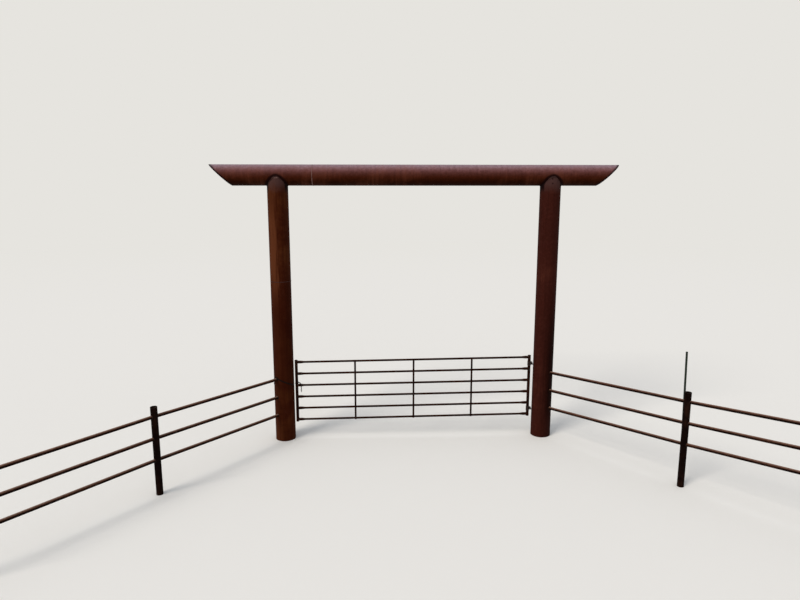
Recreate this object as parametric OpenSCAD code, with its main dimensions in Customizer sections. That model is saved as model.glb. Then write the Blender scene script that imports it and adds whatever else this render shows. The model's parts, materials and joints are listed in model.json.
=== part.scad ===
// Ranch entrance gateway, life size, in millimetres with +Z up.
// Two large pipe posts carry a pipe beam with mitred ends, a six-bar pipe gate hangs between them,
// and a three-rail pipe wing fence splays out from each post.
// The origin is on the ground at the middle of the footprint. +X runs along the beam towards
// the hinge post, and the wing fences splay towards -Y, the side that visitors arrive from.

/* [Gateway] */
// Outside diameter of the gateway posts and of the beam
gateway_od = 406.4; // [323.9:0.1:508]
// Wall thickness of the gateway pipe
gateway_wall = 9.5; // [6.4:0.1:16]
// Distance between the axes of the gateway posts
post_span = 5380; // [4400:10:6500]
// Height of the beam's axis above the ground
beam_z = 5398; // [4200:2:6500]
// Length of the beam along its top, tip to tip
beam_length = 8024; // [7000:2:9000]
// Lean of the beam's cut ends out of the vertical, in degrees
mitre_lean = 47; // [0:1:60]
// Distance that the beam sits off the middle of the gateway
beam_shift = 18; // [-60:2:60]
// Height trimmed off the thin tips of each post's cope, below the beam's axis
cope_trim = 35; // [10:1:80]

/* [Wing fences] */
// Angle between each wing fence and the line of the beam, in degrees
wing_splay = 52.85; // [30:0.05:75]
// Length of a wing fence's two bays, between post axes
wing_length = 6096; // [5000:4:7200]
// Distance from the gateway post to the left wing's first fence post
left_first_bay = 2972; // [2400:2:3400]
// Distance from the gateway post to the right wing's first fence post
right_first_bay = 3040; // [2400:2:3400]
// Outside diameter of the fence posts
line_post_od = 114.3; // [88.9:0.1:168.3]
// Wall thickness of the fence posts
line_post_wall = 6; // [3:0.1:10]
// Outside diameter of the rails
rail_od = 60.3; // [42.2:0.1:73]
// Wall thickness of the rails
rail_wall = 3.9; // [2:0.1:6]
// Height between the rails
rail_step = 382.6; // [300:0.2:450]
// Height of the left wing's top rail where it meets the gateway post's axis
left_rail_z = 1310; // [1100:1:1500]
// Height of the left wing's top rail at its first fence post
left_rail_z_1 = 1387; // [1100:1:1700]
// Height of the left wing's top rail at its second fence post
left_rail_z_2 = 1392; // [1100:1:1900]
// Height of the right wing's top rail where it meets the gateway post's axis
right_rail_z = 1384; // [1100:1:1500]
// Height of the right wing's top rail at its first fence post
right_rail_z_1 = 1544; // [1100:1:1700]
// Height of the right wing's top rail at its second fence post
right_rail_z_2 = 1768; // [1100:1:1900]
// Height that the fence posts stand above the top rail's axis
post_above = 170; // [60:5:300]

/* [Gate] */
// Distance from the gateway's middle to the latch stile's axis
latch_stile_x = 2433; // [2300:1:2440]
// Distance from the gateway's middle to the hinge stile's axis
hinge_stile_x = 2398; // [2300:1:2405]
// Outside diameter of the two stiles
stile_od = 60.3; // [48.3:0.1:60.3]
// Wall thickness of the stiles
stile_wall = 3.9; // [2:0.1:6]
// Outside diameter of the gate's bars
bar_od = 42.2; // [33.4:0.1:48.3]
// Wall thickness of the gate's bars
bar_wall = 3.6; // [2:0.1:5]
// Height between the bars
bar_step = 246.7; // [200:0.1:260]
// Height of the top bar at the latch stile
top_bar_z = 1632; // [1500:1:1750]
// Height that the bars climb from the latch stile to the hinge stile, because the gate has sagged
gate_sag = 58; // [0:1:100]
// Length by which a stile passes the top and bottom bars
stile_past_bar = 42; // [25:1:80]
// Width of the flat stays
stay_w = 38; // [25:1:60]
// Thickness of the flat stays
stay_t = 6.4; // [3:0.1:10]
// Diameter of the flared socket at each end of a bar
flare_od = 58; // [48:1:60]
// Length of the flared socket, from the stile's face
flare_length = 60; // [20:5:100]
// Length over which the socket tapers down to the bar
flare_taper = 70; // [20:5:120]

/* [Hinges and chain] */
// Height of the upper hinge's eye
upper_eye_z = 1560; // [1520:1:1580]
// Height of the lower hinge's eye
lower_eye_z = 581; // [550:1:610]
// Distance from the hinge post's face to the axis of the pins
pin_standoff = 36; // [36:0.5:38]
// Diameter of a hinge pin
pin_d = 19; // [16:0.5:20]
// Clearance between a pin and its eye, on the radius
pin_play = 0.05; // [0.02:0.01:0.1]
// Outside diameter of a hinge eye
eye_od = 40; // [36:1:42]
// Height of a hinge eye
eye_h = 25; // [20:1:32]
// Outside diameter of the collars that carry the hinge eyes
collar_od = 73; // [68:0.5:73]
// Height of a hinge collar
collar_h = 90; // [50:1:100]
// Diameter of the arm that holds a hinge pin
arm_d = 22; // [18:1:22]
// Diameter of the wire that the chain links are bent from
link_wire = 7; // [6:0.5:8]
// Radius of a chain link's bends, along the middle of the wire
link_bend = 9.5; // [8.5:0.5:12]
// Length of a chain link's straight sides
link_straight = 16; // [14:0.5:20]
// Length of the chain's tail behind the left wing's top rail
chain_tail = 120; // [40:5:200]
// Height at which the chain reaches the latch post's inner edge
chain_low_z = 1150; // [1120:2:1160]
// Height at which the chain starts behind the latch stile
chain_high_z = 1172; // [1168:1:1180]
// Distance from the latch stile's axis to the chain that hangs in front of the gate
chain_hang_x = 96; // [90:1:110]
// Height of the end of the chain that hangs in front of the gate
chain_end_z = 1000; // [950:5:1080]

/* [Marker stake] */
// Height of the steel stake behind the right wing's first fence post
stake_h = 2400; // [1800:10:2500]
// Width of the stake's flange and depth of its stem
stake_w = 35; // [30:1:45]
// Thickness of the stake's flange and stem
stake_t = 4; // [3:0.5:6]
// Direction from the fence post's axis to the stake, in degrees round from the beam's line
stake_bearing = 62; // [50:1:75]
// Gap between the stake's flange and the fence post
stake_gap = 15; // [10:1:25]
// Distance that the stake's foot stands aside from the middle of the fence post
stake_aside = 15; // [0:1:16]
// Lean of the stake out of plumb, in degrees
stake_lean = 1.4; // [0:0.1:1.5]

/* [Hidden] */
$fn = 64;
left = -1;
right = 1;
gateway_r = gateway_od / 2;
wing_depth = wing_length * sin(wing_splay) + line_post_od / 2;
// The gateway stands behind the origin, which is the middle of the footprint
gateway_y = (wing_depth - gateway_r) / 2;
post_face_x = post_span / 2 - gateway_r;
pin_x = post_face_x - pin_standoff;
top_bar_count = 6;
stile_cap_t = 4;
pin_above_eye = 22;
arm_gap = 0.5;
cut = 1;
// Distance from joint to joint along a chain, which leaves its links 2 mm loose
link_pitch = link_straight + 2 * link_bend - link_wire - 2;
// A chain lies against a surface with its links turned half a right angle each way
link_roll = 45;
chain_half = link_bend * sin(link_roll) + link_wire / 2 + 1;
// Straight links stand this much further off a small pipe that they turn round
chain_turn_gap = 2.8;
up = [0, 0, 1];

// Distance out along a wing to the far end of a bay, where bay 0 is the gateway post itself
function bay_end(side, bay) = [0, side == left ? left_first_bay : right_first_bay, wing_length][bay];

// Height of the top rail's axis at the far end of a bay
function rail_z(side, bay) =
    side == left
        ? [left_rail_z, left_rail_z_1, left_rail_z_2][bay]
        : [right_rail_z, right_rail_z_1, right_rail_z_2][bay];

// A point on a wing fence, a distance out from the gateway post's axis
function wing_point(side, out, z) = [
    side * (post_span / 2 + out * cos(wing_splay)),
    gateway_y - out * sin(wing_splay),
    z
];

// Height of a bar's axis, where part is 0 at the latch stile and 1 at the hinge stile
function bar_z(number, part) = top_bar_z - (number - 1) * bar_step + part * gate_sag;

// How far along the gate a place is, from 0 at the latch stile to 1 at the hinge stile
function gate_part(x) = (x + latch_stile_x) / (hinge_stile_x + latch_stile_x);

// Lays its children, drawn up +Z from the origin, along the line from one point towards another
module lay_along(from, to) {
    way = to - from;
    translate(from)
        rotate([0, acos(way[2] / norm(way)), atan2(way[1], way[0])])
            children();
}

// A straight bar between two points
module rod(from, to, d) {
    lay_along(from, to)
        cylinder(d = d, h = norm(to - from));
}

// The hole down a pipe, run past both of its ends
module bore(from, to, d) {
    lay_along(from, to)
        translate([0, 0, -cut])
            cylinder(d = d, h = norm(to - from) + 2 * cut);
}

// A pipe between two points
module pipe(from, to, od, wall) {
    difference() {
        rod(from, to, od);
        bore(from, to, od - 2 * wall);
    }
}

// The beam's outside, which the posts are coped to fit
module beam_round(past) {
    reach = beam_length / 2 + past;
    rod([beam_shift - reach, gateway_y, beam_z], [beam_shift + reach, gateway_y, beam_z], gateway_od);
}

module gateway_post(side) {
    foot = [side * post_span / 2, gateway_y, 0];
    color("#3a170c")
        difference() {
            pipe(foot, foot + [0, 0, beam_z - cope_trim], gateway_od, gateway_wall);
            beam_round(cut);
        }
}

module header_beam() {
    reach = beam_length / 2;
    color("#5d3530")
        difference() {
            beam_round(0);
            bore([beam_shift - reach, gateway_y, beam_z], [beam_shift + reach, gateway_y, beam_z],
                 gateway_od - 2 * gateway_wall);
            for (side = [left, right])
                translate([beam_shift, gateway_y, beam_z])
                    mirror([side == left ? 1 : 0, 0, 0])
                        translate([reach, 0, gateway_r])
                            rotate([0, mitre_lean, 0])
                                translate([0, -gateway_od, -3 * gateway_od])
                                    cube([3 * gateway_od, 2 * gateway_od, 6 * gateway_od]);
        }
}

// The fence post at the outer end of a bay
module fence_post(side, bay) {
    out = bay_end(side, bay);
    top = rail_z(side, bay) + post_above;
    color("#2a1510")
        pipe(wing_point(side, out, 0), wing_point(side, out, top), line_post_od, line_post_wall);
}

// One rail of one bay, coped to the post at each end. Row 0 is the top rail.
module wing_rail(side, row, bay) {
    start = bay_end(side, bay - 1);
    end = bay_end(side, bay);
    start_z = rail_z(side, bay - 1) - row * rail_step;
    end_z = rail_z(side, bay) - row * rail_step;
    start_od = bay == 1 ? gateway_od : line_post_od;
    color("#5a4436")
        difference() {
            pipe(wing_point(side, start, start_z), wing_point(side, end, end_z), rail_od, rail_wall);
            rod(wing_point(side, start, 0), wing_point(side, start, 2 * start_z), start_od);
            rod(wing_point(side, end, 0), wing_point(side, end, 2 * end_z), line_post_od);
        }
}

// The outside of a stile, from below the bottom bar to above the top one
module stile_round(x, past) {
    part = gate_part(x);
    low = bar_z(top_bar_count, part) - stile_past_bar - past;
    high = bar_z(1, part) + stile_past_bar + past;
    rod([x, gateway_y, low], [x, gateway_y, high], stile_od);
}

// A stile is a pipe that is closed by a flat plate at its top
module stile(x) {
    part = gate_part(x);
    low = bar_z(top_bar_count, part) - stile_past_bar;
    high = bar_z(1, part) + stile_past_bar - stile_cap_t;
    color("#241510")
        difference() {
            stile_round(x, 0);
            translate([x, gateway_y, low - cut])
                cylinder(d = stile_od - 2 * stile_wall, h = high - low + cut);
        }
}

// The flared socket at one end of a bar, drawn up from the stile's axis
module bar_flare() {
    cylinder(d = flare_od, h = stile_od / 2 + flare_length);
    translate([0, 0, stile_od / 2 + flare_length])
        cylinder(d1 = flare_od, d2 = bar_od, h = flare_taper);
}

// A bar of the gate, numbered from the top, coped to the stile at each end
module gate_bar(number) {
    from = [-latch_stile_x, gateway_y, bar_z(number, 0)];
    to = [hinge_stile_x, gateway_y, bar_z(number, 1)];
    color("#241510")
        difference() {
            union() {
                rod(from, to, bar_od);
                lay_along(from, to)
                    bar_flare();
                lay_along(to, from)
                    bar_flare();
            }
            bore(from, to, bar_od - 2 * bar_wall);
            stile_round(-latch_stile_x, stile_od);
            stile_round(hinge_stile_x, stile_od);
        }
}

// A flat stay, numbered from the latch end, welded plumb across the fronts of the bars
module gate_stay(number) {
    x = -latch_stile_x + number * (latch_stile_x + hinge_stile_x) / 4;
    part = gate_part(x);
    low = bar_z(top_bar_count, part) - bar_od / 2;
    high = bar_z(1, part) + bar_od / 2;
    color("#2b1a14")
        translate([x - stay_w / 2, gateway_y - bar_od / 2 - stay_t, low])
            cube([stay_w, stay_t, high - low]);
}

// The arm welded to the hinge post, with the pin standing up from it
module hinge_pin(eye_z) {
    arm_z = eye_z - eye_h / 2 - arm_gap - arm_d / 2;
    pin_top = eye_z + eye_h / 2 + pin_above_eye;
    color("#2e1c14")
        difference() {
            union() {
                rod([pin_x - arm_d / 2, gateway_y, arm_z], [post_span / 2, gateway_y, arm_z], arm_d);
                rod([pin_x, gateway_y, arm_z], [pin_x, gateway_y, pin_top], pin_d);
            }
            rod([post_span / 2, gateway_y, 0], [post_span / 2, gateway_y, 2 * eye_z], gateway_od);
        }
}

// The eye that turns on a pin, welded to a collar that is fixed round the hinge stile
module hinge_eye(eye_z) {
    low = eye_z - eye_h / 2;
    color("#2e1c14")
        difference() {
            union() {
                translate([hinge_stile_x, gateway_y, eye_z - collar_h / 2])
                    cylinder(d = collar_od, h = collar_h);
                translate([pin_x, gateway_y, low])
                    cylinder(d = eye_od, h = eye_h);
                translate([hinge_stile_x, gateway_y - eye_od / 2, low])
                    cube([pin_x - hinge_stile_x, eye_od, eye_h]);
            }
            stile_round(hinge_stile_x, cut);
            translate([pin_x, gateway_y, low - cut])
                cylinder(d = pin_d + 2 * pin_play, h = eye_h + 2 * cut);
        }
}

// One oval link of round wire, standing on its end with its flat side across Y
module chain_link() {
    for (turn = [0, 180])
        rotate([0, turn, 0]) {
            translate([0, 0, link_straight / 2])
                rotate([90, 0, 0])
                    rotate_extrude(angle = 180)
                        translate([link_bend, 0])
                            circle(d = link_wire);
            translate([link_bend, 0, -link_straight / 2])
                cylinder(d = link_wire, h = link_straight);
        }
}

function unit(v) = v / norm(v);

// Length of a route's legs from one of its points on
function route_length(route, leg = 0) =
    leg >= len(route) - 1 ? 0 : norm(route[leg + 1] - route[leg]) + route_length(route, leg + 1);

// The place that lies a distance along a route
function place_on(route, along, leg = 0) =
    let (size = norm(route[leg + 1] - route[leg]))
    along > size && leg < len(route) - 2
        ? place_on(route, along - size, leg + 1)
        : route[leg] + (route[leg + 1] - route[leg]) * along / size;

// Direction of a link that lies along a route
function link_way(route, number) =
    unit(place_on(route, (number + 1) * link_pitch) - place_on(route, number * link_pitch));

// A direction carried from link to link and kept square to each, so that the chain lies unwound
function link_side(route, side, number) =
    let (way = link_way(route, number))
    let (before = number == 0 ? side : link_side(route, side, number - 1))
    unit(before - (before * way) * way);

// A chain that follows a route, with each link turned a right angle and a small twist from the last
module chain_along(route, side, twist) {
    for (number = [0 : floor(route_length(route) / link_pitch) - 1]) {
        way = link_way(route, number);
        x_way = link_side(route, side, number);
        y_way = cross(way, x_way);
        middle = (place_on(route, number * link_pitch) + place_on(route, (number + 1) * link_pitch)) / 2;
        multmatrix([
            [x_way[0], y_way[0], way[0], middle[0]],
            [x_way[1], y_way[1], way[1], middle[1]],
            [x_way[2], y_way[2], way[2], middle[2]]
        ])
            rotate([0, 0, link_roll + number * (90 + twist)])
                chain_link();
    }
}

// A point on the chain's turn over the left wing's top rail, where angle 0 is the rail's right side
function over_rail(out, angle) =
    let (r = rail_od / 2 + chain_half + chain_turn_gap)
    let (rise = (rail_z(left, 1) - rail_z(left, 0)) * out / bay_end(left, 1))
    wing_point(left, out, rail_z(left, 0) + rise)
        + r * cos(angle) * [sin(wing_splay), -cos(wing_splay), 0]
        + r * sin(angle) * up;

// The chain's first part hangs behind the rail, passes over it and slants down across the post's front
module post_chain() {
    // Clear distances between the chain and the post, behind the rail, in front of it and on the post
    gap_behind = 14;
    gap_in_front = 8;
    gap_on_post = 1;
    // Angle at which the chain leaves its turn over the rail, and where it ends round the post
    leave_angle = 35;
    last_angle = -14;
    // Turn that each link adds to keep clear of the next
    twist = -1.5;
    outer = gateway_r + chain_half + gap_behind;
    inner = gateway_r + chain_half + gap_in_front;
    lie_r = gateway_r + chain_half + gap_on_post;
    turn = [
        for (part = [0 : 1 / 12 : 1.01])
            over_rail(outer + part * (inner - outer), 180 + part * (leave_angle - 180))
    ];
    leave = over_rail(inner, leave_angle);
    off_axis = [leave[0] + post_span / 2, leave[1] - gateway_y];
    first_angle = atan2(off_axis[1], off_axis[0]);
    run = [
        for (part = [0.05 : 0.05 : 1.01])
            let (angle = first_angle + part * (last_angle - first_angle))
            let (r = lie_r + (norm(off_axis) - lie_r) * pow(1 - part, 6))
            [
                r * cos(angle) - post_span / 2,
                gateway_y + r * sin(angle),
                leave[2] + part * (chain_low_z - leave[2])
            ]
    ];
    color("#4b4742")
        chain_along(concat([turn[0] - chain_tail * up], turn, run),
                    [-cos(wing_splay), -sin(wing_splay), 0], twist);
}

// The chain's second part turns round the back of the latch stile, over the third bar and hangs down
module gate_chain() {
    stile_r = stile_od / 2 + chain_half + chain_turn_gap;
    bar_r = flare_od / 2 + chain_half + chain_turn_gap;
    // Where the chain starts and ends its turn round the stile, and its climb on the way
    stile_from = 150;
    stile_to = 45;
    rise = 20;
    // Where it comes over the bar and goes down in front, and how far from both it comes on
    bar_from = 75;
    bar_to = 180;
    lead_x = 52;
    lead_r = 11;
    turn = [
        for (part = [0 : 0.05 : 1.01])
            let (angle = stile_from + part * (stile_to - stile_from))
            [
                stile_r * cos(angle) - latch_stile_x,
                gateway_y + stile_r * sin(angle),
                chain_high_z + rise * part
            ]
    ];
    over_bar = [
        for (part = [0 : 0.1 : 1.01])
            let (early = pow(1 - part, 2), angle = bar_from + part * (bar_to - bar_from))
            let (r = bar_r + lead_r * early)
            [
                chain_hang_x - lead_x * early - latch_stile_x,
                gateway_y + r * cos(angle),
                bar_z(3, 0) + r * sin(angle)
            ]
    ];
    end = [chain_hang_x - latch_stile_x, gateway_y - bar_r, chain_end_z];
    color("#4b4742")
        chain_along(concat(turn, over_bar, [end]), up, 0);
}

// A T-shaped steel stake that is driven in behind the right wing's first fence post and leans a little.
// It is drawn from below the ground and cut off level.
module marker_stake() {
    buried = stake_w;
    ground = 4 * line_post_od;
    color("#16251a")
        translate(wing_point(right, right_first_bay, 0))
            difference() {
                rotate([0, 0, stake_bearing])
                    translate([line_post_od / 2 + stake_gap, stake_aside, 0])
                        rotate([-stake_lean, 0, 0]) {
                            translate([0, -stake_w / 2, -buried])
                                cube([stake_t, stake_w, stake_h + buried]);
                            translate([0, -stake_t / 2, -buried])
                                cube([stake_w, stake_t, stake_h + buried]);
                        }
                translate([-ground / 2, -ground / 2, -2 * buried])
                    cube([ground, ground, 2 * buried]);
            }
}

gateway_post(left);  // latch_post
gateway_post(right);  // hinge_post
header_beam();
fence_post(left, 1);  // left_fence_post_1
fence_post(left, 2);  // left_fence_post_2
fence_post(right, 1);  // right_fence_post_1
fence_post(right, 2);  // right_fence_post_2
wing_rail(left, 0, 1);  // left_top_rail_1
wing_rail(left, 1, 1);  // left_mid_rail_1
wing_rail(left, 2, 1);  // left_low_rail_1
wing_rail(left, 0, 2);  // left_top_rail_2
wing_rail(left, 1, 2);  // left_mid_rail_2
wing_rail(left, 2, 2);  // left_low_rail_2
wing_rail(right, 0, 1);  // right_top_rail_1
wing_rail(right, 1, 1);  // right_mid_rail_1
wing_rail(right, 2, 1);  // right_low_rail_1
wing_rail(right, 0, 2);  // right_top_rail_2
wing_rail(right, 1, 2);  // right_mid_rail_2
wing_rail(right, 2, 2);  // right_low_rail_2
gate_bar(1);  // gate_bar_1
gate_bar(2);  // gate_bar_2
gate_bar(3);  // gate_bar_3
gate_bar(4);  // gate_bar_4
gate_bar(5);  // gate_bar_5
gate_bar(6);  // gate_bar_6
gate_stay(1);  // gate_stay_1
gate_stay(2);  // gate_stay_2
gate_stay(3);  // gate_stay_3
stile(-latch_stile_x);  // latch_stile
stile(hinge_stile_x);  // hinge_stile
hinge_pin(upper_eye_z);  // upper_hinge_pin
hinge_pin(lower_eye_z);  // lower_hinge_pin
hinge_eye(upper_eye_z);  // upper_hinge_eye
hinge_eye(lower_eye_z);  // lower_hinge_eye
post_chain();
gate_chain();
marker_stake();
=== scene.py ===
# %% [markdown]
# # A ranch entrance gateway, welded from weathered steel pipe
#
# Two posts of 16 inch pipe carry a beam of the same pipe with long mitred ends. A six-bar pipe gate
# hangs between them, and a three-rail pipe fence splays out from each post.
#
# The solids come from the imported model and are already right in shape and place, so this lesson
# gives them what solids lack: the finishes, the weld beads and the stake's studs.

# %% Load the frame
import json
import math

import bmesh
import bpy
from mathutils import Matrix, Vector


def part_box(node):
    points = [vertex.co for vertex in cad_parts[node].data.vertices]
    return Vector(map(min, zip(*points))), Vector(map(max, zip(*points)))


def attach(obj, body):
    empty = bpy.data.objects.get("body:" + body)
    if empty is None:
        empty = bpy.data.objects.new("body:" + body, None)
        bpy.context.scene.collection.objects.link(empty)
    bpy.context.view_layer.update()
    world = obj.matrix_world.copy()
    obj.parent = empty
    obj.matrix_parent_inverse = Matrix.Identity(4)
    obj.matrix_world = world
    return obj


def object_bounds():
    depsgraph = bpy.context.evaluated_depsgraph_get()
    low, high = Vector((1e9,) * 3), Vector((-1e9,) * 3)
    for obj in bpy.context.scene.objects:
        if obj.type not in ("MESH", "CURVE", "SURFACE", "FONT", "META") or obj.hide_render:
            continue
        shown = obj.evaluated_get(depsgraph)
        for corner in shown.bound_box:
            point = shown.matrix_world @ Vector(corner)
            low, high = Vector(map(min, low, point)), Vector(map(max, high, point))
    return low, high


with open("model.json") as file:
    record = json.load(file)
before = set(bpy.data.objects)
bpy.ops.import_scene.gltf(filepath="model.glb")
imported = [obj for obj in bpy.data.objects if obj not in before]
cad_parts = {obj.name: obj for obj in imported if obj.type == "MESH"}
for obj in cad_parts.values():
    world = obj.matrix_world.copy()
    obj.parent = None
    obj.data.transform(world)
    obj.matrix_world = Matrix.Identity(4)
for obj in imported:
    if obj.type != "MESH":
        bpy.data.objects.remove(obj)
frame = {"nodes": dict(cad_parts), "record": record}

nodes = frame["nodes"]
scene = bpy.context.scene
cad_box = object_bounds()
print("solids:", len(nodes), "box:", [tuple(round(v, 3) for v in corner) for corner in cad_box])

# %% [markdown]
# ## Measure the large pipes
#
# The camera, some stains and many welds are set out from the same few axes. They could be typed in
# again from the drawing, but reading them off the solids' boxes keeps this file right if the
# drawing changes.

# %% Axes and radii of the beam, posts and stiles
UP = Vector((0, 0, 1))
ALONG = Vector((1, 0, 0))


def upright_axis(node):
    """The foot of the axis of a solid that stands upright, and its radius, from its box."""
    low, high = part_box(node)
    return Vector(((low.x + high.x) / 2, (low.y + high.y) / 2, 0)), (high.x - low.x) / 2


beam_low, beam_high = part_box("header_beam")
beam_axis = (beam_low + beam_high) / 2
beam_radius = (beam_high.z - beam_low.z) / 2
posts = {side: upright_axis(side + "_post") for side in ("latch", "hinge")}
stiles = {side: upright_axis(side + "_stile") for side in ("latch", "hinge")}
crown_drop = beam_axis.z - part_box("latch_post")[1].z
print("beam radius", round(beam_radius, 4), "posts at x", [round(axis.x, 3) for axis, _ in posts.values()])

# %% [markdown]
# ## The camera
#
# The picture was taken from a small drone, a little to the left of the gateway's middle and about
# five metres up, looking slightly down. These values were fitted to the edges of the posts, beam,
# gate and rails. Another way is to match the view by eye, but a fit brings nearly every edge to
# within a pixel.

# %% Camera at the picture's viewing angle
EYE_TO_LEFT = 0.7567        # Metres from the gateway's middle
EYE_IN_FRONT = 12.1728      # Metres from the beam's axis
EYE_HEIGHT = 5.0660
LOOKS_RIGHT = 0.0377        # Radians
LOOKS_DOWN = 0.1749
SENSOR_WIDTH_MM = 36.0
FOCAL_LENGTH_MM = 27.405
FARTHEST_SEEN = 1000.0

lens = bpy.data.cameras.new("drone_view")
lens.sensor_width = SENSOR_WIDTH_MM
lens.lens = FOCAL_LENGTH_MM
lens.clip_end = FARTHEST_SEEN
camera = bpy.data.objects.new("drone_view", lens)
camera.location = (-EYE_TO_LEFT, beam_axis.y - EYE_IN_FRONT, EYE_HEIGHT)
camera.rotation_euler = (math.pi / 2 - LOOKS_DOWN, 0.0, -LOOKS_RIGHT)
scene.collection.objects.link(camera)
scene.camera = camera
print("camera:", tuple(round(v, 3) for v in camera.location), "lens", FOCAL_LENGTH_MM, "mm")

# %% [markdown]
# ## Four small helpers
#
# Colours are easier to read as the hex values that a paint chart uses, but the shader works in
# linear light, so one function converts them. A second function adds a node, sets its properties
# and fills or links its inputs, so that each finish below reads as a short list of layers. A third
# turns a size in millimetres into a texture's scale, and a fourth starts a finish with no nodes.

# %% Helpers for colours, nodes, scales and finishes
def paint(hex_code):
    """A six-figure sRGB hex colour as linear red, green, blue and alpha."""
    parts = [int(hex_code[i:i + 2], 16) / 255 for i in (1, 3, 5)]
    linear = [p / 12.92 if p <= 0.04045 else ((p + 0.055) / 1.055) ** 2.4 for p in parts]
    return (*linear, 1.0)


def add(tree, kind, inputs=None, **settings):
    """Adds a node. The settings are its own properties, and the inputs are values or sockets."""
    node = tree.nodes.new(kind)
    for name, value in settings.items():
        setattr(node, name, value)
    for key, value in (inputs or {}).items():
        if isinstance(value, bpy.types.NodeSocket):
            tree.links.new(value, node.inputs[key])
        else:
            node.inputs[key].default_value = value
    return node


def per_mm(size):
    """The texture scale at which one feature of a pattern is this many millimetres wide."""
    return 1000.0 / size


def bare_finish(name):
    """A material whose nodes are still to be laid, and its tree."""
    finish = bpy.data.materials.new(name)
    finish.use_nodes = True
    finish.node_tree.nodes.clear()
    return finish, finish.node_tree


print("mid brown is", [round(v, 3) for v in paint("#5d3939")])

# %% [markdown]
# ## Light and floor
#
# Outdoors the sky is one huge soft lamp with a sun in it. A studio copies that with a bright dome,
# here the world, and a broad sun lamp in front on the left. Where the camera or a reflection sees
# the world directly it is pale and plain, so the steel shows against it.
#
# The floor is a wide disc. Near the gateway it takes shadows, and further out it turns into the
# world's own tone, which hides the horizon the way a curved paper backdrop does.

# %% Soft studio light
BACKDROP = paint("#e6e4df")
DOME_TONE = paint("#f4f6fa")
DOME_STRENGTH = 0.62
SUN_TONE = paint("#fff6ea")
SUN_STRENGTH = 1.9
SUN_BREADTH = math.radians(24)
SUN_BELOW_ZENITH = math.radians(48)
SUN_LEFT_OF_FRONT = math.radians(48)

world = bpy.data.worlds.new("soft_dome")
scene.world = world
world.use_nodes = True
sky = world.node_tree
sky.nodes.clear()
seen = add(sky, "ShaderNodeLightPath").outputs
by_eye = add(sky, "ShaderNodeMath", {0: seen["Is Camera Ray"], 1: seen["Is Transmission Ray"]},
             operation="MAXIMUM").outputs[0]
or_mirrored = add(sky, "ShaderNodeMath", {0: by_eye, 1: seen["Is Glossy Ray"]},
                  operation="MAXIMUM").outputs[0]
dome = add(sky, "ShaderNodeBackground", {"Color": DOME_TONE, "Strength": DOME_STRENGTH}).outputs[0]
paper = add(sky, "ShaderNodeBackground", {"Color": BACKDROP, "Strength": 1.0}).outputs[0]
chosen = add(sky, "ShaderNodeMixShader", {0: or_mirrored, 1: dome, 2: paper}).outputs[0]
add(sky, "ShaderNodeOutputWorld", {"Surface": chosen})

sun = bpy.data.lights.new("broad_sun", "SUN")
sun.energy = SUN_STRENGTH
sun.angle = SUN_BREADTH
sun.color = SUN_TONE[:3]
sun_lamp = bpy.data.objects.new("broad_sun", sun)
sun_lamp.rotation_euler = (SUN_BELOW_ZENITH, 0.0, -SUN_LEFT_OF_FRONT)
scene.collection.objects.link(sun_lamp)
scene.view_settings.view_transform = "Standard"
print("dome", DOME_STRENGTH, "sun", SUN_STRENGTH)

# %% Pale floor that fades into the backdrop
FLOOR_RADIUS = 300.0
FLOOR_SIDES = 96
FLOOR_SINK = 0.002       # Keeps the floor off the posts' cut ends
FADE_FROM = 16.0
FADE_TO = 55.0


def paper_floor():
    """Matt paper by the gateway, and the backdrop's own tone far from it."""
    finish, tree = bare_finish("floor_paper")
    place = add(tree, "ShaderNodeTexCoord").outputs["Object"]
    away = add(tree, "ShaderNodeVectorMath", {0: place}, operation="LENGTH").outputs["Value"]
    fade = add(tree, "ShaderNodeMapRange", {"Value": away, "From Min": FADE_FROM, "From Max": FADE_TO},
               interpolation_type="SMOOTHSTEP").outputs[0]
    matt = add(tree, "ShaderNodeBsdfDiffuse", {"Color": paint("#ebebe9")}).outputs[0]
    glow = add(tree, "ShaderNodeEmission", {"Color": BACKDROP, "Strength": 1.0}).outputs[0]
    cover = add(tree, "ShaderNodeMixShader", {0: fade, 1: matt, 2: glow}).outputs[0]
    add(tree, "ShaderNodeOutputMaterial", {"Surface": cover})
    return finish


floor_mesh = bpy.data.meshes.new("studio_floor")
disc = bmesh.new()
bmesh.ops.create_circle(disc, cap_ends=True, segments=FLOOR_SIDES, radius=FLOOR_RADIUS)
bmesh.ops.translate(disc, verts=disc.verts, vec=(0, 0, -FLOOR_SINK))
disc.to_mesh(floor_mesh)
disc.free()
floor_mesh.materials.append(paper_floor())
floor = bpy.data.objects.new("studio_floor", floor_mesh)
scene.collection.objects.link(floor)
print("floor fades out between", FADE_FROM, "and", FADE_TO, "m")

# %% [markdown]
# ## Finish: weathered pipe steel
#
# Carbon steel pipe leaves the mill with a blue-black scale. Left outdoors, the scale breaks up into
# a tight dark rust, red-brown in patches and almost black where it stays damp. Over that the finish
# paints light by which way the steel faces: a pale dull mauve on its upper faces, which is a painted
# reflection of the sky, and a dark underside, which is painted shade.
#
# A painted image would be quicker to look real, but noise at true sizes needs no unwrapping and
# never repeats along eight metres of beam. So the finish starts from six patterns, each with a real
# size, and every layer after that is drawn with them.

# %% Patterns in the rust
BLOTCH_MM = 55       # Blotches two fingers wide
FLECK_MM = 24        # Flecks of mill scale that still hold
GRAIN_MM = 12        # The coarsest grain of the rust, with finer grain inside it
PIT_MM = 7           # Real pits are 1 to 3 mm. These are coarser, so that they show from a few metres away


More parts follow.
